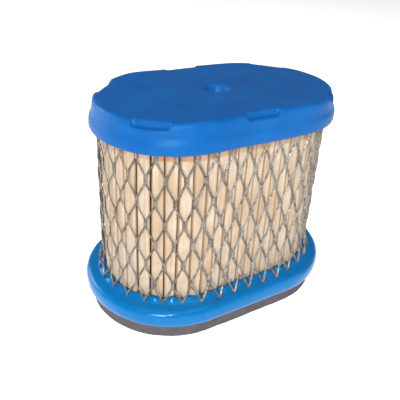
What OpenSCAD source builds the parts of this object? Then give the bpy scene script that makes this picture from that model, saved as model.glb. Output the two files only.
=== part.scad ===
// Oval air filter cartridge for a small engine: a pleated paper ring between two screens of
// expanded metal, set into two moulded polyurethane caps, with a foam gasket under the base cap.
// The base sits on z = 0. X runs along the oval. Every oval outline shares one pair of end centres.

/* [Overall] */
// Length over the base cap
overall_l = 106; // [88:1:128]
// Width over the base cap
overall_w = 70; // [58:1:84]
// Height from the underside of the gasket to the top of the top cap
overall_h = 86; // [71:1:104]

/* [Base cap] */
// Thickness of the base cap
base_cap_h = 6.4; // [5:0.1:8]
// Rounding of the base cap's outer edges
base_edge_r = 2.2; // [0.5:0.1:2.4]
// Width of the flange outside the outer screen
flange_w = 6.5; // [5:0.1:8]
// How far the base cap's lip stands inside the inner screen
opening_lip = 1; // [0.5:0.1:2]

/* [Top cap] */
// Thickness of the top cap
top_cap_h = 11; // [9:0.1:14]
// How far the top cap's lower edge stands outside the outer screen
top_cap_skirt = 3; // [2:0.1:5]
// How much the top cap's side leans in, per side
top_cap_draft = 1.2; // [0:0.1:2]
// Rounding of the top cap's upper edge
top_edge_r = 2; // [0.5:0.1:3]
// Length of each notch in the upper edge
notch_l = 14; // [8:0.5:18]
// How far each notch cuts in from the side
notch_in = 2.6; // [1:0.1:4]
// How far each notch cuts down from the top
notch_drop = 2.2; // [1:0.1:4]
// Diameter of the central dimple at its mouth
dimple_d = 10.5; // [8:0.5:14]
// Diameter of the central dimple's floor
dimple_floor_d = 5; // [3:0.5:8]
// Depth of the central dimple
dimple_deep = 5.5; // [3:0.1:7]

/* [Gasket] */
// Thickness of the gasket
gasket_h = 7.4; // [4:0.1:10]
// How far the gasket's outer edge is set in from the base cap's
gasket_inset = 2.3; // [0:0.1:4]
// Width of the gasket's band
gasket_band = 13; // [8:0.5:15]

/* [Screens] */
// Thickness of the outer screen
outer_screen_t = 1; // [0.6:0.1:1.4]
// Thickness of the inner screen
inner_screen_t = 0.8; // [0.6:0.1:1.2]
// Width of one diamond of the expanded metal
mesh_w = 6.9; // [5.5:0.1:9]
// Height of one diamond of the expanded metal
mesh_h = 17.2; // [14:0.1:21]
// Width of one strand of the expanded metal
strand_w = 0.9; // [0.6:0.1:1.2]
// Length of the bond where two strands meet
bond_l = 4; // [2:0.1:5]
// Distance from the top cap down to the first row of bonds
first_bond_drop = 2.4; // [0:0.1:6]
// Thickness of the staples' wire
staple_t = 0.8; // [0.5:0.1:1]

/* [Paper] */
// Depth of the pleats from outer to inner folds
pleat_deep = 12.2; // [9:0.1:14]
// Distance between pleats along the middle of the ring
pleat_pitch = 3.9; // [3:0.1:4.8]
// Thickness of the paper
paper_t = 0.6; // [0.4:0.05:0.7]
// Flat width inside each fold
fold_flat = 0.4; // [0.2:0.05:0.6]
// Thickness of the glue between the paper's two ends
seam_glue = 0.2; // [0.1:0.05:0.4]
// Thickness of the metal clip that joins the paper's ends
clip_t = 0.5; // [0.3:0.1:0.8]
// Depth of the clip over the paper's ends
clip_deep = 4; // [2:0.5:6]

/* [Fits] */
// Gap between the folds and each screen
screen_gap = 0.6; // [0.5:0.1:1]
// How far the paper and its clip are set into each cap
paper_seat = 3; // [2:0.1:4]
// How far the screens are set into each cap
screen_seat = 2; // [1:0.1:3]

/* [Hidden] */

// The oval: two round ends joined by straight runs
run = overall_l - overall_w;

// Outlines as distances from the line between the end centres, from the outside in
base_r = overall_w / 2;
gasket_r = base_r - gasket_inset;
gasket_inner_r = gasket_r - gasket_band;
outer_screen_r = base_r - flange_w;
top_cap_r = outer_screen_r + top_cap_skirt;
outer_fold_r = outer_screen_r - outer_screen_t - screen_gap;
inner_fold_r = outer_fold_r - pleat_deep;
inner_screen_r = inner_fold_r - screen_gap;
core_r = inner_screen_r - inner_screen_t;
opening_r = core_r - opening_lip;

// Levels, from the ground up
base_top_z = gasket_h + base_cap_h;
top_cap_z = overall_h - top_cap_h;
paper_z = [base_top_z - paper_seat, top_cap_z + paper_seat];
screen_z = [base_top_z - screen_seat, top_cap_z + screen_seat];
first_bond_z = top_cap_z - first_bond_drop;

// Staples: a crown across a bond, legs through the diamonds beside it, ends turned in behind it
seam_column = 2;
staple_reach = strand_w + 0.4;
clinch_t = screen_gap - 0.1;
clinch_l = 0.7;

cut_over = 1;
$fn = 96;

// Length round the oval at a distance r from its middle line
function oval_length(r) = 2 * run + 2 * PI * r;

// Where a point s along the oval at distance r lies: the foot on the middle line, the outward
// direction, and 1 on a round end. s starts at the middle of the +Y side and runs towards -X.
function oval_foot(s, r) =
    s < run / 2 ? [-s, 90, 0]
    : s < run / 2 + PI * r ? [-run / 2, 90 + (s - run / 2) / r * 180 / PI, 1]
    : s < 1.5 * run + PI * r ? [s - run - PI * r, 270, 0]
    : s < 1.5 * run + 2 * PI * r ? [run / 2, 270 + (s - 1.5 * run - PI * r) / r * 180 / PI, 1]
    : [2 * run + 2 * PI * r - s, 90, 0];

// The point at distance at_r on the normal of s, shifted sideways along the oval
function oval_point(s, r, at_r, shift) =
    let (scale = oval_foot(s, r)[2] == 1 ? r / at_r : 1)
    let (foot = oval_foot(s + shift * scale, r))
    [foot[0] + at_r * cos(foot[1]), at_r * sin(foot[1])];

// An oval in the plane
module oval(r) {
    for (side = [-1, 1]) translate([side * run / 2, 0]) circle(r);
    square([run, 2 * r], center = true);
}

module oval_ring(outer_r, inner_r, z) {
    translate([0, 0, z[0]]) linear_extrude(z[1] - z[0]) difference() {
        oval(outer_r);
        oval(inner_r);
    }
}

// Carries a half profile, drawn from the middle line outwards, round the oval as a solid
module oval_body() {
    for (side = [-1, 1]) translate([side * run / 2, 0, 0]) rotate(-90 * side)
        rotate_extrude(angle = 180) children();
    rotate([90, 0, 90]) linear_extrude(run, center = true) {
        children();
        mirror([1, 0]) children();
    }
}

// Puts children where s lies on an oval at distance r, with their +X pointing outwards
module on_oval(s, r) {
    foot = oval_foot(s, r);
    translate([foot[0], 0, 0]) rotate(foot[1]) translate([r, 0, 0]) children();
}

module base_cap_profile() {
    translate([0, gasket_h]) square([base_r - base_edge_r, base_cap_h]);
    translate([0, gasket_h + base_edge_r]) square([base_r, base_cap_h - 2 * base_edge_r]);
    for (z = [gasket_h + base_edge_r, base_top_z - base_edge_r])
        translate([base_r - base_edge_r, z]) circle(base_edge_r);
}

module top_cap_profile() {
    edge_r = top_cap_r - top_cap_draft;
    polygon([
        [0, top_cap_z], [top_cap_r, top_cap_z], [edge_r, overall_h - top_edge_r],
        [edge_r - top_edge_r, overall_h], [0, overall_h],
    ]);
    translate([edge_r - top_edge_r, overall_h - top_edge_r]) circle(top_edge_r);
}

// What the caps are moulded round: the ends of the paper, its clip and the two screens
module moulded_in() {
    pleated_paper();
    paper_seam_clip();
    oval_ring(outer_screen_r, outer_screen_r - outer_screen_t, screen_z);
    oval_ring(inner_screen_r, core_r, screen_z);
}

module notch() {
    translate([-notch_in - top_cap_draft, -notch_l / 2, overall_h - notch_drop])
        cube([notch_in + top_cap_draft + cut_over, notch_l, notch_drop + cut_over]);
}

module dimple() {
    rotate_extrude() polygon([
        [0, overall_h + cut_over], [dimple_d / 2, overall_h + cut_over], [dimple_d / 2, overall_h],
        [dimple_floor_d / 2, overall_h - dimple_deep], [0, overall_h - dimple_deep],
    ]);
}

// One hole of the expanded metal: a diamond with its side corners cut off by the bonds
module mesh_hole(width, thickness) {
    half_w = width / 2 - strand_w;
    half_h = (mesh_h - bond_l) / 2;
    rotate([90, 0, 90]) linear_extrude(thickness + 2 * cut_over, center = true) polygon([
        [0, half_h], [-half_w, bond_l / 2], [-half_w, -bond_l / 2],
        [0, -half_h], [half_w, -bond_l / 2], [half_w, bond_l / 2],
    ]);
}

// A sleeve of expanded metal, its rows of bonds counted down from the first row
module expanded_sleeve(outer_r, thickness) {
    middle_r = outer_r - thickness / 2;
    columns = round(oval_length(middle_r) / mesh_w);
    column_w = oval_length(middle_r) / columns;
    last_row = ceil((first_bond_z - screen_z[0]) / (mesh_h / 2));
    difference() {
        oval_ring(outer_r, outer_r - thickness, screen_z);
        for (row = [-1:last_row], column = [0:columns - 1])
            on_oval((column + (row % 2 == 0 ? 0 : 0.5)) * column_w, middle_r)
                translate([0, 0, first_bond_z - row * mesh_h / 2]) mesh_hole(column_w, thickness);
    }
}

// Staples on every other bond of one column; crown_side is 1 outside the sleeve, -1 inside it
module seam_staples(outer_r, thickness, crown_side) {
    middle_r = outer_r - thickness / 2;
    column_w = oval_length(middle_r) / round(oval_length(middle_r) / mesh_w);
    for (z = [first_bond_z - mesh_h:-mesh_h:base_top_z + bond_l])
        on_oval((seam_column + 0.5) * column_w, middle_r) translate([0, 0, z])
            rotate([0, 0, crown_side > 0 ? 0 : 180]) staple(thickness);
}

module staple(thickness) {
    span = 2 * (staple_reach + staple_t);
    translate([thickness / 2, -span / 2, -staple_t / 2]) cube([staple_t, span, staple_t]);
    for (side = [-1, 1]) scale([1, side, 1]) {
        translate([-thickness / 2 - clinch_t, staple_reach, -staple_t / 2])
            cube([thickness + clinch_t + staple_t, staple_t, staple_t]);
        translate([-thickness / 2 - clinch_t, staple_reach - clinch_l, -staple_t / 2])
            cube([clinch_t, clinch_l + staple_t, staple_t]);
    }
}

module top_cap() {
    color("royalblue") difference() {
        oval_body() top_cap_profile();
        moulded_in();
        dimple();
        for (side = [0, 180]) rotate(side) {
            translate([0, top_cap_r, 0]) rotate(90) notch();
            for (lean = [-45, 45]) translate([run / 2, 0, 0]) rotate(lean)
                translate([top_cap_r, 0, 0]) notch();
        }
    }
}

module base_cap() {
    color("dodgerblue") difference() {
        oval_body() base_cap_profile();
        moulded_in();
        translate([0, 0, gasket_h - cut_over]) linear_extrude(base_cap_h + 2 * cut_over) oval(opening_r);
    }
}

module sealing_gasket() {
    color("dimgray") oval_ring(gasket_r, gasket_inner_r, [0, gasket_h]);
}

// One strip of paper folded round the ring. Its two ends stand side by side in the clip at s = 0.
module pleated_paper() {
    middle_r = (outer_fold_r + inner_fold_r) / 2;
    around = oval_length(middle_r);
    pleats = round(around / pleat_pitch);
    pitch = around / pleats;
    wide = fold_flat / 2 + paper_t;
    narrow = fold_flat / 2;
    end_r = outer_fold_r - clip_t;
    leg_r = end_r - clip_deep;
    // The strip's two faces, each listed as [s, distance, sideways shift]
    outside = [
        [0, end_r, paper_t + seam_glue / 2], [0, leg_r, paper_t + seam_glue / 2],
        for (i = [0:pleats - 1]) each [
            [(i + 0.5) * pitch, inner_fold_r + paper_t, -narrow],
            [(i + 0.5) * pitch, inner_fold_r + paper_t, narrow],
            if (i < pleats - 1) each [
                [(i + 1) * pitch, outer_fold_r, -wide],
                [(i + 1) * pitch, outer_fold_r, wide],
            ],
        ],
        [around, leg_r, -paper_t - seam_glue / 2], [around, end_r, -paper_t - seam_glue / 2],
    ];
    inside = [
        [0, end_r, seam_glue / 2], [0, leg_r, seam_glue / 2],
        for (i = [0:pleats - 1]) each [
            [(i + 0.5) * pitch, inner_fold_r, -wide],
            [(i + 0.5) * pitch, inner_fold_r, wide],
            if (i < pleats - 1) each [
                [(i + 1) * pitch, outer_fold_r - paper_t, -narrow],
                [(i + 1) * pitch, outer_fold_r - paper_t, narrow],
            ],
        ],
        [around, leg_r, -seam_glue / 2], [around, end_r, -seam_glue / 2],
    ];
    outline = [
        for (p = outside) oval_point(p[0], middle_r, p[1], p[2]),
        for (i = [len(inside) - 1:-1:0])
            oval_point(inside[i][0], middle_r, inside[i][1], inside[i][2]),
    ];
    color("wheat") translate([0, 0, paper_z[0]]) linear_extrude(paper_z[1] - paper_z[0])
        polygon(outline);
}

module paper_seam_clip() {
    slot_w = 2 * paper_t + seam_glue;
    clip_w = slot_w + 2 * clip_t;
    color("silver") difference() {
        translate([-clip_w / 2, outer_fold_r - clip_t - clip_deep, paper_z[0]])
            cube([clip_w, clip_deep + clip_t, paper_z[1] - paper_z[0]]);
        translate([-slot_w / 2, outer_fold_r - clip_t - clip_deep - cut_over, paper_z[0] - cut_over])
            cube([slot_w, clip_deep + cut_over, paper_z[1] - paper_z[0] + 2 * cut_over]);
    }
}

module outer_screen() {
    color("darkgray") expanded_sleeve(outer_screen_r, outer_screen_t);
}

module outer_screen_staples() {
    color("lightgray") seam_staples(outer_screen_r, outer_screen_t, 1);
}

module inner_screen() {
    color("darkgray") expanded_sleeve(inner_screen_r, inner_screen_t);
}

module inner_screen_staples() {
    color("lightgray") seam_staples(inner_screen_r, inner_screen_t, -1);
}

top_cap();
base_cap();
sealing_gasket();
pleated_paper();
paper_seam_clip();
outer_screen();
outer_screen_staples();
inner_screen();
inner_screen_staples();
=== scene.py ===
import bmesh
import bpy
import math
import random
from mathutils import Matrix, Vector


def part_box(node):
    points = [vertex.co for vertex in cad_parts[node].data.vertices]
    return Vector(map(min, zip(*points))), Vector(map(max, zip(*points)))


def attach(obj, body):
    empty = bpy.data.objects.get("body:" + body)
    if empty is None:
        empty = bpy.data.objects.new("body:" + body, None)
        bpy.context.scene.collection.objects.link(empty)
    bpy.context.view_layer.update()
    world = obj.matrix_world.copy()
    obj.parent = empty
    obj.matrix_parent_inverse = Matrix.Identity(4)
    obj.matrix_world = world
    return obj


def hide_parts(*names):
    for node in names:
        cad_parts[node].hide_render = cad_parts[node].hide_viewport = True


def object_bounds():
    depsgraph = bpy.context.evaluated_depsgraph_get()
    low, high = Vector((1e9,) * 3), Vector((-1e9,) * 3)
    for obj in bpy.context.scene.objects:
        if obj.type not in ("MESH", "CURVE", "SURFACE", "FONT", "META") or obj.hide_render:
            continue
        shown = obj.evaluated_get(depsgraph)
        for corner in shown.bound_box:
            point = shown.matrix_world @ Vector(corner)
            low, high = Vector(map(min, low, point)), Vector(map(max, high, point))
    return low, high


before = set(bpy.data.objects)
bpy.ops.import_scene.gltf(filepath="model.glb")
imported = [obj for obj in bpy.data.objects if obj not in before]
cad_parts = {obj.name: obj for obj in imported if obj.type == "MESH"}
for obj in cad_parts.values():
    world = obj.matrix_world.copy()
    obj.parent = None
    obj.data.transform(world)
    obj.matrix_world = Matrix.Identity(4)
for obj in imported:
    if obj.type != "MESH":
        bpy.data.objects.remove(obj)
cad_low, cad_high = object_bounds()
bpy.ops.object.select_all(action="DESELECT")

# ---------------------------------------------------------------------------------------------
# Pleated paper. One strip of resin-treated cellulose paper, folded into deep pleats and bent
# round into an oval ring. The folds were pressed over when the ring was closed, so that they lie
# on each other like louvres. Its two long edges are potted in the caps.
# ---------------------------------------------------------------------------------------------
mm = 0.001

# Every oval of the cartridge is two round ends of its own radius, joined by the same straight run.
base_low, base_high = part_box("base_cap")
run = round((base_high.x - base_low.x) - (base_high.y - base_low.y), 3)
arc_steps = 48

paper_low, paper_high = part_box("pleated_paper")
paper_thick = 0.42 * mm
fold_gap = 0.6 * mm
pleat_pitch = 3.9 * mm
panel_cuts = 10
outer_fold_r = paper_high.y
inner_fold_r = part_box("inner_screen")[1].y + fold_gap
pleat_middle_r = (outer_fold_r + inner_fold_r) / 2

# The strip's path over one pleat, from one outer fold to the next: how far along the ring, as a
# share of the pitch, and how far out, as a share of the depth.
pleat_path = [
    (0.00, 1.00), (0.03, 0.985), (0.04, 0.94), (-0.24, 0.865), (-0.54, 0.81), (-0.64, 0.75),
    (-0.67, 0.62), (-0.64, 0.30), (-0.58, 0.05), (-0.48, 0.00), (-0.38, 0.04), (-0.28, 0.30),
    (-0.15, 0.54), (0.00, 0.66), (0.10, 0.76), (0.18, 0.87), (0.215, 0.94), (0.25, 0.96),
    (0.29, 0.963), (0.76, 0.968), (0.83, 0.99), (0.88, 1.00), (1.00, 1.00),
]
# Painted shade: the outer face is browned from here to here along each pleat, just past each outer
# fold, where the gap between the folds lies in shade. The face lies above this share of the depth.
gap_shade_from = 0.18
gap_shade_to = 0.29
gap_shade_above = 0.8

# Points closer than this are one point
touching = 0.01 * mm


def oval_length(radius):
    """Length round the oval at a radius."""
    return 2 * run + 2 * math.pi * radius


def pick(kind, test):
    """In edit mode, selects only the vertices, edges or faces that pass a test of their middle."""
    bpy.ops.mesh.select_mode(type=kind)
    bpy.ops.mesh.select_all(action="DESELECT")
    mesh = bmesh.from_edit_mesh(bpy.context.edit_object.data)
    for item in {"VERT": mesh.verts, "EDGE": mesh.edges, "FACE": mesh.faces}[kind]:
        corners = [item.co] if kind == "VERT" else [v.co for v in item.verts]
        if test(sum(corners, Vector()) / len(corners), item):
            item.select_set(True)
    mesh.select_flush_mode()
    bmesh.update_edit_mesh(bpy.context.edit_object.data)


def push(x, y, z):
    """In edit mode, extrudes what is selected and moves it."""
    bpy.ops.mesh.extrude_region_move(TRANSFORM_OT_translate={"value": (x, y, z)})


def close_up():
    """In edit mode, merges doubled points over the whole piece and turns every face outwards."""
    bpy.ops.mesh.select_all(action="SELECT")
    bpy.ops.mesh.remove_doubles(threshold=touching)
    bpy.ops.mesh.normals_make_consistent(inside=False)


def apply_modifiers(piece):
    """Applies a piece's modifiers in their order."""
    bpy.ops.object.select_all(action="DESELECT")
    bpy.context.view_layer.objects.active = piece
    piece.select_set(True)
    for modifier in list(piece.modifiers):
        bpy.ops.object.modifier_apply(modifier=modifier.name)


def repeat(piece, name, count, step):
    """Repeats a piece in a row, each copy joined to the one before."""
    row = piece.modifiers.new(name, "ARRAY")
    row.count = count
    row.use_relative_offset = False
    row.use_constant_offset = True
    row.constant_offset_displace = step
    row.use_merge_vertices = True
    row.merge_threshold = touching


def ripple(piece, name, size, depth, direction):
    """Disturbs a piece by soft noise of a size, by up to half the depth each way."""
    cloud = bpy.data.textures.new(name, "CLOUDS")
    cloud.noise_scale = size
    cloud.noise_depth = 1
    wave = piece.modifiers.new(name, "DISPLACE")
    wave.texture = cloud
    wave.texture_coords = "LOCAL"
    wave.direction = direction
    wave.strength = depth
    wave.mid_level = 0.5


def bend_round(piece, radius):
    """Bends a flat strip, laid from x = 0 with its outer side towards -Y, round the oval.
    It starts at the middle of the back and goes round by the -X end."""
    # Its chords are together as long as the arcs they stand for
    half_step = math.pi / arc_steps / 2
    radius *= half_step / math.sin(half_step)
    data = bpy.data.curves.new("rail", "CURVE")
    data.dimensions = "3D"
    data.twist_mode = "Z_UP"
    route = [(0, radius)]
    for end, start in ((-1, 90), (1, 270)):
        for step in range(arc_steps + 1):
            angle = math.radians(start + 180 * step / arc_steps)
            route.append((end * run / 2 + radius * math.cos(angle), radius * math.sin(angle)))
    route.append((0, radius))
    spline = data.splines.new("POLY")
    spline.points.add(len(route) - 1)
    for point, (x, y) in zip(spline.points, route):
        point.co = (x, y, 0, 1)
    rail = bpy.data.objects.new("rail", data)
    bpy.context.collection.objects.link(rail)
    bend = piece.modifiers.new("bend", "CURVE")
    bend.object = rail
    bend.deform_axis = "POS_X"
    apply_modifiers(piece)
    bpy.data.objects.remove(rail)


pleats = round(oval_length(pleat_middle_r) / pleat_pitch)
pleat_step = oval_length(pleat_middle_r) / pleats
pleat_deep = outer_fold_r - inner_fold_r - paper_thick
paper_tall = paper_high.z - paper_low.z

path = [Vector((along * pleat_step, (0.5 - out) * pleat_deep)) for along, out in pleat_path]
first = path[1] - path[0]
middle = (path[0] + path[1]) / 2
bpy.ops.mesh.primitive_plane_add(
    size=1,
    location=(middle.x, middle.y, (paper_low.z + paper_high.z) / 2),
    rotation=(math.pi / 2, 0, math.atan2(first.y, first.x)),
)
paper = bpy.context.object
paper.name = "folded_paper"
paper.scale = (first.length, paper_tall, 1)
bpy.ops.object.transform_apply(location=True, rotation=True, scale=True)
bpy.ops.object.mode_set(mode="EDIT")
pick("EDGE", lambda middle, edge: (middle.xy - path[1]).length < touching)
for here, there in zip(path[1:], path[2:]):
    push(there.x - here.x, there.y - here.y, 0)
close_up()
bpy.ops.object.mode_set(mode="OBJECT")
# Painted shade: marks the faces just past each outer fold, where the gap between the folds is in shade
gap_shade_mark = paper.data.attributes.new("gap_shade_mark", "FLOAT", "FACE")
for face, mark in zip(paper.data.polygons, gap_shade_mark.data):
    along = face.center.x / pleat_step
    out = 0.5 - face.center.y / pleat_deep
    if gap_shade_from < along < gap_shade_to and out > gap_shade_above:
        mark.value = 1
repeat(paper, "pleats", pleats, (pleat_step, 0, 0))
ripple(paper, "uneven_spacing", size=6 * mm, depth=1.5 * mm, direction="X")
ripple(paper, "uneven_depth", size=8 * mm, depth=0.3 * mm, direction="Y")
apply_modifiers(paper)
bpy.ops.object.mode_set(mode="EDIT")
pick("EDGE", lambda middle, edge: edge.calc_length() > paper_tall / 2)
bpy.ops.mesh.subdivide(number_cuts=panel_cuts)
bpy.ops.object.mode_set(mode="OBJECT")
ripple(paper, "slack", size=10 * mm, depth=0.35 * mm, direction="X")
wall = paper.modifiers.new("paper", "SOLIDIFY")
wall.thickness = paper_thick
wall.offset = 0
bend_round(paper, pleat_middle_r)
bpy.ops.object.shade_smooth_by_angle(angle=math.radians(28))


def start_finish(name):
    """A new material, with its nodes, its links and its shader."""
    finish = bpy.data.materials.new(name)
    finish.use_nodes = True
    tree = finish.node_tree
    return finish, tree.nodes, tree.links, tree.nodes["Principled BSDF"]


def grain(nodes, links, scale, detail=3, density=(1, 1, 1), turn=(0, 0, 0)):
    """Noise that stays with the piece. Its scale is per metre, a density below 1 draws it out
    along that axis, and turn tilts the axes."""
    place = nodes.new("ShaderNodeTexCoord")
    fit = nodes.new("ShaderNodeMapping")
    fit.vector_type = "TEXTURE"
    fit.inputs["Rotation"].default_value = turn
    fit.inputs["Scale"].default_value = [1 / share for share in density]
    noise = nodes.new("ShaderNodeTexNoise")
    noise.inputs["Scale"].default_value = scale
    noise.inputs["Detail"].default_value = detail
    links.new(place.outputs["Object"], fit.inputs["Vector"])
    links.new(fit.outputs["Vector"], noise.inputs["Vector"])
    return noise.outputs["Fac"]


def height_share(nodes, links, low, high):
    """0 below a level, 1 above another, and a ramp between them."""
    place = nodes.new("ShaderNodeTexCoord")
    split = nodes.new("ShaderNodeSeparateXYZ")
    ramp = nodes.new("ShaderNodeMapRange")
    ramp.inputs["From Min"].default_value = low
    ramp.inputs["From Max"].default_value = high
    links.new(place.outputs["Object"], split.inputs["Vector"])
    links.new(split.outputs["Z"], ramp.inputs["Value"])
    return ramp.outputs["Result"]


def depth_share(nodes, links, start_r, full_r, most):
    """0 outside one radius of the oval, most inside another, and a ramp between them. A point's
    radius is how far it is from the line between the end centres."""
    place = nodes.new("ShaderNodeTexCoord")
    point = place.outputs["Object"]
    for operation, amount in (
        ("ABSOLUTE", (0, 0, 0)), ("SUBTRACT", (run / 2, 0, 0)),
        ("MAXIMUM", (0, 0, 0)), ("MULTIPLY", (1, 1, 0)),
    ):
        step = nodes.new("ShaderNodeVectorMath")
        step.operation = operation
        step.inputs[1].default_value = amount
        links.new(point, step.inputs[0])
        point = step.outputs["Vector"]
    radius = nodes.new("ShaderNodeVectorMath")
    radius.operation = "LENGTH"
    ramp = nodes.new("ShaderNodeMapRange")
    ramp.inputs["From Min"].default_value = start_r
    ramp.inputs["From Max"].default_value = full_r
    ramp.inputs["To Max"].default_value = most
    links.new(point, radius.inputs[0])
    links.new(radius.outputs["Value"], ramp.inputs["Value"])
    return ramp.outputs["Result"]


def colours(nodes, links, share, stops):
    """Colours spread over a share from 0 to 1."""
    ramp = nodes.new("ShaderNodeValToRGB")
    spread = ramp.color_ramp
    while len(spread.elements) < len(stops):
        spread.elements.new(0.5)
    for element, (at, colour) in zip(spread.elements, stops):
        element.position = at
        element.color = (*colour, 1)
    links.new(share, ramp.inputs["Fac"])
    return ramp.outputs["Color"]


def blend_colour(nodes, links, share, first, second):
    """The second colour over the first by a share."""
    mix = nodes.new("ShaderNodeMix")
    mix.data_type = "RGBA"
    links.new(share, mix.inputs["Factor"])
    for socket, colour in ((mix.inputs["A"], first), (mix.inputs["B"], second)):
        if isinstance(colour, tuple):
            socket.default_value = (*colour, 1)
        else:
            links.new(colour, socket)
    return mix.outputs["Result"]


def spread_values(nodes, links, noise, low, high):
    """Noise, which mostly lies between 0.3 and 0.7, as a number from low to high."""
    ramp = nodes.new("ShaderNodeMapRange")
    ramp.inputs["From Min"].default_value = 0.3
    ramp.inputs["From Max"].default_value = 0.7
    ramp.inputs["To Min"].default_value = low
    ramp.inputs["To Max"].default_value = high
    links.new(noise, ramp.inputs["Value"])
    return ramp.outputs["Result"]


def relief(nodes, links, shader, layers):
    """Bump from layers of (height, strength, depth in metres), one on another."""
    below = None
    for height, strength, depth in layers:
        bump = nodes.new("ShaderNodeBump")
        bump.inputs["Strength"].default_value = strength
        bump.inputs["Distance"].default_value = depth
        links.new(height, bump.inputs["Height"])
        if below:
            links.new(below, bump.inputs["Normal"])
        below = bump.outputs["Normal"]
    links.new(below, shader.inputs["Normal"])


# Cream paper, blotched by its resin, browner in uneven patches in a band just below the top cap, and
# with painted shade deep between the folds. These are distances below that cap and inside the outer
# folds.
cap_low, cap_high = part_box("top_cap")
brown_band_low = 4.6 * mm
brown_band_full = 3.6 * mm
shade_starts = 0.75 * mm
shade_full = 1.25 * mm
shade_most = 0.45
cream_colours = [
    (0.30, (0.40, 0.29, 0.195)), (0.46, (0.46, 0.37, 0.285)), (0.60, (0.50, 0.42, 0.345)),
    (0.74, (0.445, 0.36, 0.245)),
]
streak_brown = (0.33, 0.24, 0.16)
crease_brown = (0.28, 0.205, 0.105)
under_cap_brown = (0.36, 0.15, 0.035)
shade_brown = (0.26, 0.165, 0.09)
gap_shade_brown = (0.27, 0.18, 0.105)

paper_finish, nodes, links, shader = start_finish("cream_paper")
blotch = grain(nodes, links, scale=160, detail=4, density=(1, 1, 0.35))
streak = grain(nodes, links, scale=900, detail=3, density=(1, 1, 0.08))
crease = grain(nodes, links, scale=420, detail=2, density=(1, 1, 0.12), turn=(0.7, 0.7, 0))
fibre = grain(nodes, links, scale=5200, detail=4, density=(1, 1, 0.5))
cream = colours(nodes, links, blotch, cream_colours)
cream = blend_colour(nodes, links, spread_values(nodes, links, streak, 0, 0.35), cream, streak_brown)
cream = blend_colour(nodes, links, spread_values(nodes, links, crease, 0, 0.3), cream, crease_brown)
# Browner in uneven patches from a little below the top cap upwards
band = height_share(nodes, links, cap_low.z - brown_band_low, cap_low.z - brown_band_full)
patches = grain(nodes, links, scale=260, detail=2, density=(1, 1, 0.01))
under_cap_patches = nodes.new("ShaderNodeMath")
under_cap_patches.operation = "MULTIPLY"
links.new(band, under_cap_patches.inputs[0])
links.new(spread_values(nodes, links, patches, 0, 1), under_cap_patches.inputs[1])
cream = blend_colour(nodes, links, under_cap_patches.outputs["Value"], cream, under_cap_brown)
# Painted shade: browner deeper inside the outer folds, between the pleats
inside = depth_share(nodes, links, outer_fold_r - shade_starts, outer_fold_r - shade_full, shade_most)
cream = blend_colour(nodes, links, inside, cream, shade_brown)
# Painted shade: the marked faces browned, for the shaded gap beside each outer fold
gap_shade_node = nodes.new("ShaderNodeAttribute")
gap_shade_node.attribute_name = "gap_shade_mark"
cream = blend_colour(nodes, links, gap_shade_node.outputs["Fac"], cream, gap_shade_brown)
links.new(cream, shader.inputs["Base Color"])
links.new(spread_values(nodes, links, fibre, 0.62, 0.85), shader.inputs["Roughness"])
shader.inputs["Specular IOR Level"].default_value = 0.25
relief(nodes, links, shader, [
    (crease, 0.4, 0.5 * mm), (streak, 0.25, 0.15 * mm), (fibre, 0.35, 0.04 * mm),
])
paper.data.materials.append(paper_finish)
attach(paper, "root")
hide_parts("pleated_paper")

# ---------------------------------------------------------------------------------------------
# Seam clip. A narrow strip of tinplate, folded to a U and crimped over the two ends of the paper
# where the ring closes, at the middle of the back.
# ---------------------------------------------------------------------------------------------
clip_low, clip_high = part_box("paper_seam_clip")
tin_thick = 0.5 * mm
clip_wide = clip_high.x - clip_low.x - tin_thick
clip_tall = clip_high.z - clip_low.z
crimp_rows = 16
crimp_deep = 0.14 * mm
crimp_edge = 0.5 * mm
tin_colours = [(0.3, (0.42, 0.42, 0.41)), (0.7, (0.66, 0.65, 0.62))]

bpy.ops.object.select_all(action="DESELECT")
bpy.ops.mesh.primitive_plane_add(
    size=1,
    location=(0, clip_high.y - tin_thick / 2, (clip_low.z + clip_high.z) / 2),
    rotation=(math.pi / 2, 0, 0),
)
clip = bpy.context.object
clip.name = "crimped_clip"
clip.scale = (clip_wide, clip_tall, 1)
bpy.ops.object.transform_apply(location=True, rotation=True, scale=True)
bpy.ops.object.mode_set(mode="EDIT")
pick("EDGE", lambda middle, edge: edge.calc_length() > clip_tall / 2)
push(0, clip_low.y - clip_high.y + tin_thick / 2, 0)
pick("EDGE", lambda middle, edge: edge.calc_length() > clip_tall / 2)
bpy.ops.mesh.subdivide(number_cuts=2 * crimp_rows)
leg_y = (clip_low.y + clip_high.y) / 2
row_tall = clip_tall / (2 * crimp_rows + 1)
pick("FACE", lambda middle, face: middle.y < clip_high.y - tin_thick
     and int((middle.z - clip_low.z) / row_tall) % 2)
bpy.ops.mesh.inset(thickness=crimp_edge, use_individual=True)
bpy.ops.transform.resize(value=(1 - 2 * crimp_deep / clip_wide, 1, 1), center_override=(0, leg_y, 0))
close_up()
bpy.ops.object.mode_set(mode="OBJECT")
wall = clip.modifiers.new("tinplate", "SOLIDIFY")
wall.thickness = tin_thick
wall.offset = 0
soften = clip.modifiers.new("folded_edges", "BEVEL")
soften.width = 0.1 * mm
soften.segments = 2
soften.limit_method = "ANGLE"
apply_modifiers(clip)
bpy.ops.object.shade_smooth_by_angle(angle=math.radians(40))

tin_finish, nodes, links, shader = start_finish("tinplate_strip")
spangle = grain(nodes, links, scale=700, detail=3, density=(1, 1, 0.3))
links.new(colours(nodes, links, spangle, tin_colours), shader.inputs["Base Color"])
links.new(spread_values(nodes, links, spangle, 0.28, 0.48), shader.inputs["Roughness"])
shader.inputs["Metallic"].default_value = 1
rolled = grain(nodes, links, scale=2600)
relief(nodes, links, shader, [(rolled, 0.2, 0.05 * mm)])
clip.data.materials.append(tin_finish)
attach(clip, "root")
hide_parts("paper_seam_clip")

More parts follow.
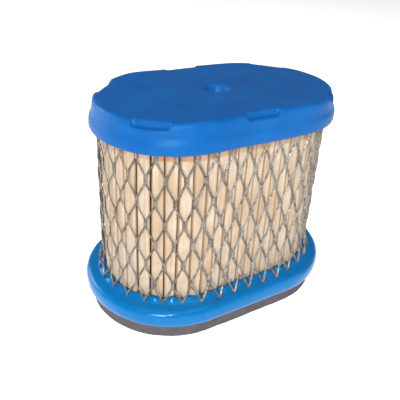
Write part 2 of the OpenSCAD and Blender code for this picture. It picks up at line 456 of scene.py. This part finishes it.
# ---------------------------------------------------------------------------------------------
# Inner screen. A sleeve of galvanised expanded metal inside the pleats. The sheet is slit and
# pulled open, so each strand is a flat strip that zigzags from bond to bond, and every strand
# stands at a slant to the sleeve, as the slats of a blind do. Both caps are cast round its ends.
# ---------------------------------------------------------------------------------------------
strand_wide = 0.77 * mm
strand_thick = 0.38 * mm
strand_slant = math.radians(38)
bond_half = 1.3 * mm
diamond_wide = 6.9 * mm
diamond_tall = 17.2 * mm
first_bond_drop = 2.4 * mm
first_bond_z = cap_low.z - first_bond_drop
bond_near = 0.1 * mm
sleeve_rows = 5
zinc_colours = [(0.32, (0.095, 0.08, 0.065)), (0.5, (0.17, 0.148, 0.125)), (0.68, (0.28, 0.255, 0.225))]
zinc_glint = (0.50, 0.48, 0.45)

# How a strand leaves a bond for the next: a share of the height, and the share of the width by then.
strand_bends = [(0.05, 0.03), (0.12, 0.10), (0.50, 0.50), (0.88, 0.90), (0.95, 0.97), (1.0, 1.0)]


def expanded_sleeve(name, radius, low, high):
    """A sleeve of expanded metal with its middle at a radius, cut off at two levels."""
    columns = round(oval_length(radius) / diamond_wide)
    wide = oval_length(radius) / columns
    side = Vector((math.cos(strand_slant), -math.sin(strand_slant), 0)) * strand_wide / 2
    over = Vector((wide / 2, 0, 0)) - 2 * side
    bottom = first_bond_z - (sleeve_rows - 1) * diamond_tall
    lean = diamond_tall / 2 - 2 * bond_half
    leaves = 2 * bond_half
    returns = diamond_tall / 2 + 2 * bond_half
    # One strand from one bond to the next and back: its share of the way across, and its rise
    stations = [(0, 0), (0, leaves)]
    stations += [(share, leaves + lean * rise) for rise, share in strand_bends]
    stations += [(1, returns)]
    stations += [(1 - share, returns + lean * rise) for rise, share in strand_bends]

    bpy.ops.object.select_all(action="DESELECT")
    bpy.ops.mesh.primitive_plane_add(
        size=1, location=(side.x, side.y, bottom - bond_half), rotation=(0, 0, -strand_slant)
    )
    sleeve = bpy.context.object
    sleeve.name = name
    sleeve.scale = (strand_wide, strand_thick, 1)
    bpy.ops.object.transform_apply(location=True, rotation=True, scale=True)
    bpy.ops.object.mode_set(mode="EDIT")
    bpy.ops.mesh.select_all(action="SELECT")
    for (share, rise), (next_share, next_rise) in zip(stations, stations[1:]):
        step = over * (next_share - share)
        push(step.x, step.y, next_rise - rise)
    close_up()
    # Open the ends, and the sides by which it joins its neighbours at the bonds
    other_bond = bottom + diamond_tall / 2
    pick("FACE", lambda middle, face: abs(face.normal.z) > 0.9
         or (abs(middle.z - bottom) < bond_near and face.normal.dot(side) < -0.9 * side.length)
         or (abs(middle.z - other_bond) < bond_near and face.normal.dot(side) > 0.9 * side.length))
    bpy.ops.mesh.delete(type="FACE")
    # Its twin leans the other way from the same bond
    bpy.ops.mesh.select_all(action="SELECT")
    bpy.ops.mesh.duplicate()
    bpy.ops.transform.rotate(value=math.pi, orient_axis="Z", center_override=(0, 0, 0))
    bpy.ops.mesh.select_all(action="SELECT")
    bpy.ops.transform.translate(value=(wide / 2, 0, 0))
    close_up()
    bpy.ops.object.mode_set(mode="OBJECT")
    repeat(sleeve, "columns", columns, (wide, 0, 0))
    repeat(sleeve, "rows", sleeve_rows, (0, 0, diamond_tall))
    bend_round(sleeve, radius)
    bpy.ops.object.mode_set(mode="EDIT")
    close_up()
    for level, upwards in ((high, 1), (low, -1)):
        bpy.ops.mesh.select_all(action="SELECT")
        bpy.ops.mesh.bisect(
            plane_co=(0, 0, level), plane_no=(0, 0, upwards), use_fill=True, clear_outer=True
        )
    bpy.ops.object.mode_set(mode="OBJECT")
    return sleeve


def round_wire_edges(sleeve):
    """Takes the sharpness off the cut strands."""
    soften = sleeve.modifiers.new("worn_edges", "BEVEL")
    soften.width = 0.09 * mm
    soften.segments = 1
    soften.limit_method = "ANGLE"
    soften.angle_limit = math.radians(35)
    apply_modifiers(sleeve)
    bpy.ops.object.shade_smooth_by_angle(angle=math.radians(45))


inner_low, inner_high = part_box("inner_screen")
inner_thick = 0.8 * mm
inner_sleeve = expanded_sleeve("inner_sleeve", inner_high.y - inner_thick / 2, inner_low.z, inner_high.z)
round_wire_edges(inner_sleeve)

mesh_finish, nodes, links, shader = start_finish("galvanised_strands")
dull = grain(nodes, links, scale=420, detail=4)
spark = grain(nodes, links, scale=1500, detail=2)
zinc = colours(nodes, links, dull, zinc_colours)
zinc = blend_colour(nodes, links, spread_values(nodes, links, spark, -0.35, 0.45), zinc, zinc_glint)
links.new(zinc, shader.inputs["Base Color"])
shader.inputs["Metallic"].default_value = 0.6
shader.inputs["Specular IOR Level"].default_value = 0.3
links.new(spread_values(nodes, links, spark, 0.66, 0.42), shader.inputs["Roughness"])
hammered = grain(nodes, links, scale=1100, detail=2, density=(1, 1, 2.2))
relief(nodes, links, shader, [(hammered, 0.8, 0.2 * mm), (spark, 0.35, 0.05 * mm)])
inner_sleeve.data.materials.append(mesh_finish)
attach(inner_sleeve, "root")
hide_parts("inner_screen")

# ---------------------------------------------------------------------------------------------
# Outer screen. The same expanded metal round the outside of the pleats. Where it was forced
# down over the base cap's mould, its cut tips splayed out over the flange, most of all along the
# straight sides.
# ---------------------------------------------------------------------------------------------
outer_low, outer_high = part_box("outer_screen")
outer_thick = 1.0 * mm
splay_out = 3.6 * mm
splay_end = 1.7 * mm
splay_up = 1.1 * mm
splay_reach = 12 * mm
tip_trim = 0.9 * mm
tip_tall = 0.4 * mm


def drag_along(reach):
    """Settings by which a transform operator takes the points around with it, less and less up to
    a reach."""
    return {
        "use_proportional_edit": True,
        "proportional_edit_falloff": "SMOOTH",
        "proportional_size": reach,
    }


cut_z = outer_low.z + tip_trim
outer_sleeve = expanded_sleeve("outer_sleeve", outer_high.y - outer_thick / 2, cut_z, outer_high.z)
bpy.ops.object.mode_set(mode="EDIT")
for facing in (-1, 1):
    pick("VERT", lambda place, vert: place.z < cut_z + tip_tall
         and abs(place.x) < run / 2 and place.y * facing > 0)
    bpy.ops.transform.translate(value=(0, facing * splay_out, splay_up), **drag_along(splay_reach))
for end in (-1, 1):
    pick("VERT", lambda place, vert: place.z < cut_z + tip_tall and place.x * end > run / 2)
    widen = (outer_high.y + splay_end) / outer_high.y
    bpy.ops.transform.resize(
        value=(widen, widen, 1), center_override=(end * run / 2, 0, cut_z), **drag_along(splay_reach)
    )
    bpy.ops.transform.translate(value=(0, 0, splay_up), **drag_along(splay_reach))
bpy.ops.object.mode_set(mode="OBJECT")
round_wire_edges(outer_sleeve)
outer_sleeve.data.materials.append(mesh_finish)
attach(outer_sleeve, "root")
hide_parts("outer_screen")

# ---------------------------------------------------------------------------------------------
# Staples. Soft wire staples that close each sleeve where its ends meet: a crown across a bond,
# two legs through the diamonds beside it, and the ends clinched behind it.
# ---------------------------------------------------------------------------------------------
staple_count = 3
wire_r = 0.36 * mm
leg_turned = 0.9 * mm
wire_colours = [(0.3, (0.45, 0.44, 0.42)), (0.7, (0.70, 0.69, 0.66))]

wire_finish, nodes, links, shader = start_finish("staple_wire")
drawn = grain(nodes, links, scale=1800, detail=3)
links.new(colours(nodes, links, drawn, wire_colours), shader.inputs["Base Color"])
links.new(spread_values(nodes, links, drawn, 0.22, 0.40), shader.inputs["Roughness"])
shader.inputs["Metallic"].default_value = 1
relief(nodes, links, shader, [(drawn, 0.2, 0.03 * mm)])


def staple_row(name, node, crown_out):
    """The staples of one sleeve, as wire bent along the space that the node holds, their crowns
    on its outer or its inner side."""
    low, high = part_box(node)
    crown_y, clinch_y = high.y - wire_r, low.y + wire_r
    if not crown_out:
        crown_y, clinch_y = clinch_y, crown_y
    left, right = low.x + wire_r, high.x - wire_r
    route = [
        (left + leg_turned, clinch_y), (left, clinch_y), (left, crown_y),
        (right, crown_y), (right, clinch_y), (right - leg_turned, clinch_y),
    ]
    staples = []
    for index in range(staple_count):
        level = low.z + wire_r + index * (high.z - low.z - 2 * wire_r) / (staple_count - 1)
        data = bpy.data.curves.new(name, "CURVE")
        data.dimensions = "3D"
        data.bevel_depth = wire_r
        data.bevel_resolution = 3
        data.use_fill_caps = True
        bend = data.splines.new("BEZIER")
        bend.bezier_points.add(len(route) - 1)
        for point, (x, y) in zip(bend.bezier_points, route):
            point.co = (x, y, level)
            point.handle_left_type = "VECTOR"
            point.handle_right_type = "VECTOR"
        staple = bpy.data.objects.new(name, data)
        bpy.context.collection.objects.link(staple)
        staples.append(staple)
    bpy.ops.object.select_all(action="DESELECT")
    for staple in staples:
        staple.select_set(True)
    bpy.context.view_layer.objects.active = staples[0]
    bpy.ops.object.convert(target="MESH")
    bpy.ops.object.join()
    row = bpy.context.object
    row.name = name
    bpy.ops.object.mode_set(mode="EDIT")
    close_up()
    bpy.ops.object.mode_set(mode="OBJECT")
    bpy.ops.object.shade_smooth_by_angle(angle=math.radians(40))
    row.data.materials.append(wire_finish)
    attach(row, "root")
    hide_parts(node)


staple_row("inner_staples", "inner_screen_staples", False)
staple_row("outer_staples", "outer_screen_staples", True)

# ---------------------------------------------------------------------------------------------
# Top cap. Blue polyurethane, poured into an open mould and left to cure round the upper ends of
# the paper and the screens. Six notches in its upper edge and the deep dimple in its middle are
# left by the pins that held the pleats down, and its free surface shrank slightly hollow.
# ---------------------------------------------------------------------------------------------
turn_steps = 128
cast_voxel = 0.46 * mm
cast_smoothing = 6
cap_side_r = cap_high.y
cap_draft = 1.2 * mm
notch_long = 15.5 * mm
notch_in = 2.7 * mm
notch_drop = 2.2 * mm
notch_reach = 6 * mm
notch_floor_share = 0.86
notch_corner = 0.5 * mm
dimple_steps = 48
dimple_wide = 10.4 * mm
dimple_floor = 5 * mm
dimple_deep = 5.5 * mm
dimple_clear = 1 * mm

# The -X end of the top cured a little lower than the rest: its edge, this far in and down, moved
# by this much and took the rest with it
droop_long = 8 * mm
droop_tall = 2.5 * mm
droop = (0.8 * mm, 0, -1.3 * mm)
droop_reach = 24 * mm

satin_colours = [(0.3, (0.001, 0.064, 0.245)), (0.7, (0.002, 0.082, 0.295))]
handled_blue = (0.004, 0.105, 0.36)

# The cap's half section from the middle of its underside, round its edge, to the middle of its
# top: how far in from the widest point, and the height above the underside, in millimetres.
cap_section = [
    (26, 0), (1.0, 0), (0.35, 0.15), (0.05, 0.6), (0, 1.6), (0.05, 3.4), (0.25, 4.4), (0.65, 5.1),
    (0.95, 5.9), (1.15, 7.4), (1.35, 9.2), (1.5, 9.9), (1.9, 10.5), (2.6, 10.85), (3.8, 10.9),
    (7.5, 10.8), (13, 10.65), (20, 10.55), (26, 10.5),
]


def turn_oval(name, section):
    """Draws a ring through the radii and heights of a half section, and pulls its two halves
    apart into an oval."""
    bpy.ops.object.select_all(action="DESELECT")
    bpy.ops.mesh.primitive_circle_add(
        vertices=turn_steps, radius=section[0][0], location=(0, 0, section[0][1]),
        rotation=(0, 0, math.pi / turn_steps),
    )
    piece = bpy.context.object
    piece.name = name
    bpy.ops.object.transform_apply(location=True, rotation=True, scale=True)
    bpy.ops.object.mode_set(mode="EDIT")
    bpy.ops.mesh.select_mode(type="VERT")
    bpy.ops.mesh.select_all(action="SELECT")
    for (radius, level), (next_radius, next_level) in zip(section, section[1:]):
        push(0, 0, next_level - level)
        bpy.ops.transform.resize(
            value=(next_radius / radius, next_radius / radius, 1), center_override=(0, 0, next_level)
        )
    for end in (-1, 1):
        pick("VERT", lambda place, vert: place.x * end > 0)
        bpy.ops.transform.translate(value=(end * run / 2, 0, 0))
    return piece


def cut_away(piece, cutter):
    """Takes one solid out of another and removes it."""
    cut = piece.modifiers.new("cut", "BOOLEAN")
    cut.operation = "DIFFERENCE"
    cut.solver = "EXACT"
    cut.object = cutter
    apply_modifiers(piece)
    bpy.data.objects.remove(cutter)


def cast_skin(piece, voxel, smoothing):
    """Turns a piece into one even skin with soft corners, as a casting has."""
    skin = piece.modifiers.new("skin", "REMESH")
    skin.mode = "VOXEL"
    skin.voxel_size = voxel
    melt = piece.modifiers.new("melt", "SMOOTH")
    melt.factor = 0.5
    melt.iterations = smoothing


cap_outline = [(cap_side_r - inwards * mm, cap_low.z + up * mm) for inwards, up in cap_section]
cap = turn_oval("cast_top_cap", cap_outline)
pick("EDGE", lambda middle, edge: edge.is_boundary)
bpy.ops.mesh.fill_holes(sides=0)
close_up()
bpy.ops.object.mode_set(mode="OBJECT")

# One notch: a block with sloping ends and rounded inner edges
bpy.ops.object.select_all(action="DESELECT")
bpy.ops.mesh.primitive_cube_add(size=1)
notch = bpy.context.object
notch.scale = (notch_reach, notch_long, 2 * notch_drop)
bpy.ops.object.transform_apply(scale=True)
bpy.ops.object.mode_set(mode="EDIT")
pick("FACE", lambda middle, face: face.normal.z < -0.9)
bpy.ops.transform.resize(value=(1, notch_floor_share, 1), center_override=(0, 0, -notch_drop))
pick("EDGE", lambda middle, edge: middle.x < 0 and middle.z < notch_corner)
bpy.ops.mesh.bevel(offset=notch_corner, segments=3)
bpy.ops.object.mode_set(mode="OBJECT")

# A notch at the middle of each straight side, and two on each round end
cap_edge_r = cap_side_r - cap_draft
notch_places = [(0, cap_edge_r, math.radians(90)), (0, -cap_edge_r, math.radians(270))]
for end, angles in ((1, (-45, 45)), (-1, (135, 225))):
    for angle in angles:
        facing = math.radians(angle)
        x = end * run / 2 + cap_edge_r * math.cos(facing)
        y = cap_edge_r * math.sin(facing)
        notch_places.append((x, y, facing))
for x, y, facing in notch_places:
    cutter = notch.copy()
    cutter.data = notch.data.copy()
    bpy.context.collection.objects.link(cutter)
    outwards = notch_reach / 2 - notch_in
    cutter.location = (x + outwards * math.cos(facing), y + outwards * math.sin(facing), cap_high.z)
    cutter.rotation_euler = (0, 0, facing)
    bpy.context.view_layer.update()
    cut_away(cap, cutter)
bpy.data.objects.remove(notch)

bpy.ops.object.select_all(action="DESELECT")
bpy.ops.mesh.primitive_cone_add(
    vertices=dimple_steps, radius1=dimple_floor / 2, radius2=dimple_wide / 2, depth=dimple_deep,
    location=(0, 0, cap_high.z - dimple_deep / 2),
)
dimple = bpy.context.object
bpy.ops.object.mode_set(mode="EDIT")
pick("FACE", lambda middle, face: face.normal.z > 0.9)
push(0, 0, dimple_clear)
bpy.ops.object.mode_set(mode="OBJECT")
cut_away(cap, dimple)

cast_skin(cap, cast_voxel, cast_smoothing)
ripple(cap, "shrinkage", size=16 * mm, depth=0.5 * mm, direction="Z")
apply_modifiers(cap)
bpy.ops.object.mode_set(mode="EDIT")
pick("VERT", lambda place, vert: place.z > cap_high.z - droop_tall and place.x < cap_low.x + droop_long)
bpy.ops.transform.translate(value=droop, **drag_along(droop_reach))
bpy.ops.object.mode_set(mode="OBJECT")
bpy.ops.object.shade_smooth()

blue_finish, nodes, links, shader = start_finish("blue_polyurethane_satin")
cloudy = grain(nodes, links, scale=55, detail=3)
handling = grain(nodes, links, scale=240, detail=4)
pore = grain(nodes, links, scale=1900, detail=3)
blue = colours(nodes, links, cloudy, satin_colours)
blue = blend_colour(nodes, links, spread_values(nodes, links, handling, 0, 0.25), blue, handled_blue)
links.new(blue, shader.inputs["Base Color"])
links.new(spread_values(nodes, links, handling, 0.38, 0.52), shader.inputs["Roughness"])
shader.inputs["Specular IOR Level"].default_value = 0.25
shader.inputs["Specular Tint"].default_value = (0.35, 0.8, 1.0, 1)
swell = grain(nodes, links, scale=120, detail=2)
relief(nodes, links, shader, [(swell, 0.25, 0.6 * mm), (pore, 0.12, 0.05 * mm)])
cap.data.materials.append(blue_finish)
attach(cap, "root")
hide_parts("top_cap")

# ---------------------------------------------------------------------------------------------
# Base cap. The same blue polyurethane with a glossier mould face. It was poured last, round the
# lower ends of the paper and the screens, and crept up them a little before it cured. Its flange
# is clamped by the air cleaner's cover, and its oval opening goes over the intake.
# ---------------------------------------------------------------------------------------------
opening_wall = 1.0 * mm
opening_r = inner_high.y - inner_thick - opening_wall
flange_r = base_high.y
gloss_colours = [(0.3, (0.001, 0.100, 0.29)), (0.7, (0.002, 0.124, 0.34))]
smeared_blue = (0.004, 0.14, 0.37)

# The flange's section, from its underside round a skirt that hangs a little over the gasket, up
# over the rim and back in to the screen: how far in from the outer edge, and the height above
# the underside, in millimetres. Then the lip of the opening, down to the underside again: how
# far out from the opening, and the height.
flange_section = [
    (2.5, 0), (2.0, -0.2), (1.6, -0.75), (1.1, -0.95), (0.6, -0.75), (0.2, -0.05), (0, 1.2), (0, 2.6),
    (0.08, 3.6), (0.4, 4.6), (1.0, 5.3), (1.9, 5.75), (3.2, 6.0), (4.6, 6.3), (5.6, 6.75),
    (6.3, 7.3), (7.0, 7.4), (8.0, 6.9), (9.5, 6.4),
]
lip_section = [
    (2.6, 6.4), (1.6, 6.8), (0.9, 6.6), (0.3, 6.1), (0, 5.2), (0, 1.0), (0.25, 0.3), (0.9, 0),
]
base_section = [(flange_r - inwards * mm, base_low.z + up * mm) for inwards, up in flange_section]
base_section += [(opening_r + outwards * mm, base_low.z + up * mm) for outwards, up in lip_section]
base_section.append(base_section[0])

base = turn_oval("cast_base_cap", base_section)
close_up()
bpy.ops.object.mode_set(mode="OBJECT")

# Where it crept up the outer screen, between the cut tips: a low mound under every diamond, of
# these half sizes in millimetres and an uneven height
mound_wide = 2.1
mound_deep = 1.5
mound_tall = 2.4
mound_uneven = (0.75, 1.15)
mound_sunk = 0.4 * mm
screen_r = outer_high.y - outer_thick / 2
columns = round(oval_length(screen_r) / diamond_wide)
column_wide = oval_length(screen_r) / columns
chance = random.Random(7)
bpy.ops.object.select_all(action="DESELECT")
bpy.ops.mesh.primitive_ico_sphere_add(subdivisions=3, radius=1 * mm)
mound = bpy.context.object
mounds = []
for column in range(columns):
    copy = mound.copy()
    copy.data = mound.data.copy()
    bpy.context.collection.objects.link(copy)
    copy.scale = (mound_wide, mound_deep, mound_tall * chance.uniform(*mound_uneven))
    copy.location = ((column + 0.5) * column_wide, 0, base_high.z - mound_sunk)
    mounds.append(copy)
bpy.data.objects.remove(mound)
for copy in mounds:
    copy.select_set(True)
bpy.context.view_layer.objects.active = mounds[0]
bpy.ops.object.transform_apply(location=True, rotation=True, scale=True)
bpy.ops.object.join()
creep = bpy.context.object
bend_round(creep, screen_r)
base.select_set(True)
bpy.context.view_layer.objects.active = base
bpy.ops.object.join()
cast_skin(base, cast_voxel, cast_smoothing)
ripple(base, "mould_wave", size=12 * mm, depth=0.28 * mm, direction="Z")
apply_modifiers(base)
bpy.ops.object.shade_smooth()

gloss_finish, nodes, links, shader = start_finish("blue_polyurethane_gloss")
cloudy = grain(nodes, links, scale=60, detail=3)
smear = grain(nodes, links, scale=300, detail=4)
blue = colours(nodes, links, cloudy, gloss_colours)
blue = blend_colour(nodes, links, spread_values(nodes, links, smear, 0, 0.2), blue, smeared_blue)
links.new(blue, shader.inputs["Base Color"])
links.new(spread_values(nodes, links, smear, 0.14, 0.28), shader.inputs["Roughness"])
shader.inputs["Specular IOR Level"].default_value = 0.36
shader.inputs["Specular Tint"].default_value = (0.35, 0.75, 1.0, 1)
swell = grain(nodes, links, scale=150, detail=2)
pore = grain(nodes, links, scale=1500, detail=2)
relief(nodes, links, shader, [(swell, 0.25, 0.5 * mm), (pore, 0.06, 0.05 * mm)])
base.data.materials.append(gloss_finish)
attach(base, "root")
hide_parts("base_cap")

# ---------------------------------------------------------------------------------------------
# Gasket. A die-cut oval ring of grey closed-cell foam, bonded under the base cap. It is squeezed
# against the air cleaner's seat, and its cut side shows the foam's cells.
# ---------------------------------------------------------------------------------------------
foam_low, foam_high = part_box("sealing_gasket")
foam_r = foam_high.y
foam_voxel = 0.5 * mm
foam_smoothing = 2
foam_contact = 0.15 * mm
grey_colours = [(0.3, (0.045, 0.041, 0.047)), (0.7, (0.080, 0.073, 0.080))]
cell_grey = (0.115, 0.105, 0.112)

# Its section, from the underside round the outer edge and back down the inner one: how far in
# from the outer edge, and the height, in millimetres
foam_section = [
    (12.4, 0.05), (6.5, 0.0), (0.6, 0.0), (0.12, 0.25), (0, 0.9), (0.06, 2.5), (0.1, 4.0), (0.04, 6.0),
    (0.0, 6.6), (0.1, 7.15), (0.6, 7.4), (6.5, 7.4), (12.4, 7.4), (12.88, 7.2), (13, 6.6), (12.94, 4.0),
    (13, 0.9), (12.88, 0.3),
]
gasket_section = [(foam_r - inwards * mm, foam_low.z + up * mm) for inwards, up in foam_section]
gasket_section.append(gasket_section[0])
gasket = turn_oval("foam_gasket", gasket_section)
close_up()
bpy.ops.object.mode_set(mode="OBJECT")
cast_skin(gasket, foam_voxel, foam_smoothing)
ripple(gasket, "soft_edge", size=6 * mm, depth=0.22 * mm, direction="NORMAL")
apply_modifiers(gasket)
# Its underside is flat on the seat
bpy.ops.object.mode_set(mode="EDIT")
pick("VERT", lambda place, vert: place.z < foam_low.z + foam_contact)
bpy.ops.transform.resize(value=(1, 1, 0), center_override=(0, 0, foam_low.z))
bpy.ops.object.mode_set(mode="OBJECT")
bpy.ops.object.shade_smooth()

foam_finish, nodes, links, shader = start_finish("grey_cell_foam")
cells = nodes.new("ShaderNodeTexVoronoi")
cells.inputs["Scale"].default_value = 1500
place = nodes.new("ShaderNodeTexCoord")
links.new(place.outputs["Object"], cells.inputs["Vector"])
mottle = grain(nodes, links, scale=380, detail=4, density=(1, 1, 1.6))
speck = grain(nodes, links, scale=2100, detail=2)
grey = colours(nodes, links, mottle, grey_colours)
grey = blend_colour(nodes, links, spread_values(nodes, links, speck, 0, 0.35), grey, cell_grey)
links.new(grey, shader.inputs["Base Color"])
links.new(spread_values(nodes, links, mottle, 0.78, 0.95), shader.inputs["Roughness"])
shader.inputs["Specular IOR Level"].default_value = 0.25
relief(nodes, links, shader, [(mottle, 0.3, 0.2 * mm), (cells.outputs["Distance"], 0.5, 0.12 * mm)])
gasket.data.materials.append(foam_finish)
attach(gasket, "root")
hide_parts("sealing_gasket")

# ---------------------------------------------------------------------------------------------
# Studio. A pale floor that glows a little and a pale backdrop, a key light and a small flash
# near the camera, and soft fills from both sides, the back and above.
# ---------------------------------------------------------------------------------------------
floor_size = 6
floor_glow = 0.55
floor_colours = [(0.3, (0.88, 0.88, 0.88)), (0.7, (0.92, 0.92, 0.92))]
backdrop_r = 0.45 * floor_size
backdrop_glow = 0.95
backdrop_colours = [(0.3, (0.9, 0.9, 0.9)), (0.7, (0.95, 0.95, 0.95))]
air_colour = (0.95, 0.97, 1.0, 1)
air_glow = 0.2

bpy.ops.object.select_all(action="DESELECT")
bpy.ops.mesh.primitive_plane_add(size=floor_size, location=(0, 0, cad_low.z))
floor = bpy.context.object
floor.name = "studio_floor"
floor_finish, nodes, links, shader = start_finish("pale_floor")
paint = grain(nodes, links, scale=6, detail=3)
links.new(colours(nodes, links, paint, floor_colours), shader.inputs["Base Color"])
links.new(spread_values(nodes, links, paint, 0.75, 0.9), shader.inputs["Roughness"])
shader.inputs["Specular IOR Level"].default_value = 0.1
shader.inputs["Emission Color"].default_value = (1, 1, 1, 1)
shader.inputs["Emission Strength"].default_value = floor_glow
floor.data.materials.append(floor_finish)

# The backdrop is only seen: it lights, reflects in and shades nothing
bpy.ops.object.select_all(action="DESELECT")
bpy.ops.mesh.primitive_uv_sphere_add(
    segments=64, ring_count=32, radius=backdrop_r, location=(0, 0, cad_low.z)
)
backdrop = bpy.context.object
backdrop.name = "studio_backdrop"
backdrop.visible_diffuse = False
backdrop.visible_glossy = False
backdrop.visible_shadow = False
backdrop_finish, nodes, links, shader = start_finish("pale_backdrop")
wash = grain(nodes, links, scale=3, detail=2)
links.new(colours(nodes, links, wash, backdrop_colours), shader.inputs["Emission Color"])
shader.inputs["Base Color"].default_value = (0, 0, 0, 1)
shader.inputs["Specular IOR Level"].default_value = 0
shader.inputs["Emission Strength"].default_value = backdrop_glow
backdrop.data.materials.append(backdrop_finish)

centre = Vector((0, 0, (cad_low.z + cad_high.z) / 2))


def direction(azimuth, elevation):
    """The way from the object towards a light or the camera, in degrees: azimuth 0 is in front,
    and 90 is towards +X."""
    a, e = math.radians(azimuth), math.radians(elevation)
    return Vector((math.sin(a) * math.cos(e), -math.cos(a) * math.cos(e), math.sin(e)))


def studio_light(name, azimuth, elevation, distance, size, power, tone):
    """A round soft light that faces the object: its direction in degrees, its distance and size
    in metres, its power in watts and its colour."""
    data = bpy.data.lights.new(name, "AREA")
    data.shape = "DISK"
    data.size = size
    data.energy = power
    data.color = tone
    light = bpy.data.objects.new(name, data)
    bpy.context.collection.objects.link(light)
    light.location = centre + direction(azimuth, elevation) * distance
    light.rotation_euler = direction(azimuth, elevation).to_track_quat("Z", "Y").to_euler()


studio_light("key", -42, 24, 0.9, 0.14, 7.8, (1.0, 0.98, 0.96))
studio_light("flash", -30, 40, 0.7, 0.05, 1.9, (1.0, 0.99, 0.97))
studio_light("fill_right", 45, 15, 0.9, 0.5, 1.4, (0.96, 0.98, 1.0))
studio_light("fill_left", -130, 15, 0.9, 0.5, 0.8, (0.97, 0.98, 1.0))
studio_light("fill_back", 215, 20, 0.9, 0.5, 3.2, (0.98, 0.99, 1.0))
studio_light("fill_top", 0, 85, 1.0, 0.9, 3.6, (1.0, 1.0, 1.0))

world = bpy.data.worlds.new("studio_air")
world.use_nodes = True
world.node_tree.nodes["Background"].inputs["Color"].default_value = air_colour
world.node_tree.nodes["Background"].inputs["Strength"].default_value = air_glow
bpy.context.scene.world = world
bpy.context.scene.view_settings.view_transform = "Standard"

# The camera stands close and a little rolled, and its sensor sits a little off the lens's axis
camera_azimuth = -33.4
camera_elevation = 28.2
camera_roll = math.radians(3.84)
camera_distance = 210.5 * mm
camera_lens = 45.7
camera_sensor = 36
camera_shift = (-0.0276, -0.0313)
camera_near = 10 * mm

camera_data = bpy.data.cameras.new("camera")
camera_data.sensor_width = camera_sensor
camera_data.lens = camera_lens
camera_data.shift_x, camera_data.shift_y = camera_shift
camera_data.clip_start = camera_near
camera = bpy.data.objects.new("camera", camera_data)
bpy.context.collection.objects.link(camera)
back = direction(camera_azimuth, camera_elevation)
right = Vector((math.cos(math.radians(camera_azimuth)), math.sin(math.radians(camera_azimuth)), 0))
upright = back.cross(right)
tilted = right * math.cos(camera_roll) + upright * math.sin(camera_roll)
upright = back.cross(tilted)
turn = Matrix((tilted, upright, back)).transposed()
camera.matrix_world = Matrix.Translation(centre + back * camera_distance) @ turn.to_4x4()
bpy.context.scene.camera = camera
